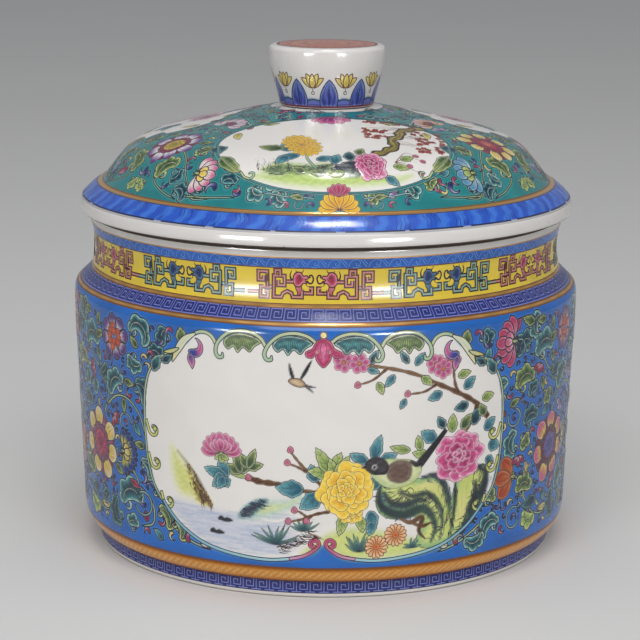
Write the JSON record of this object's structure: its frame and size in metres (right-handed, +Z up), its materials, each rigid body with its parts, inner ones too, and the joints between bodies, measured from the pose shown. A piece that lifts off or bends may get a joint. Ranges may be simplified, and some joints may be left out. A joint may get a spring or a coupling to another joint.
{
  "type": "lidded jar",
  "caption": "Round porcelain jar with a waisted neck and a domed lid on a drop-in flange, lifted by a flaring knob.",
  "frame": {"origin": "centre of the foot ring, on the surface that the jar stands on", "axes": "+Z up along the jar's turning axis, -Y out of the middle of the front panel, +X to the right as seen from the front"},
  "size_m": [0.1558, 0.1558, 0.1537],
  "materials": {
    "jar_glaze": "glossy glaze over painted enamels",
    "lid_glaze": "glossy glaze over painted enamels",
    "knob_glaze": "glossy white glaze with painted enamels"
  },
  "bodies": {
    "jar": {"jar_body": "jar_glaze"},
    "lid": {"lid": "lid_glaze", "knob": "knob_glaze"}
  },
  "joints": [
    {"name": "lid_lift", "type": "slide", "parent": "jar", "child": "lid", "axis": [0, 0, 1], "range_m": [0, 0.09]}
  ]
}
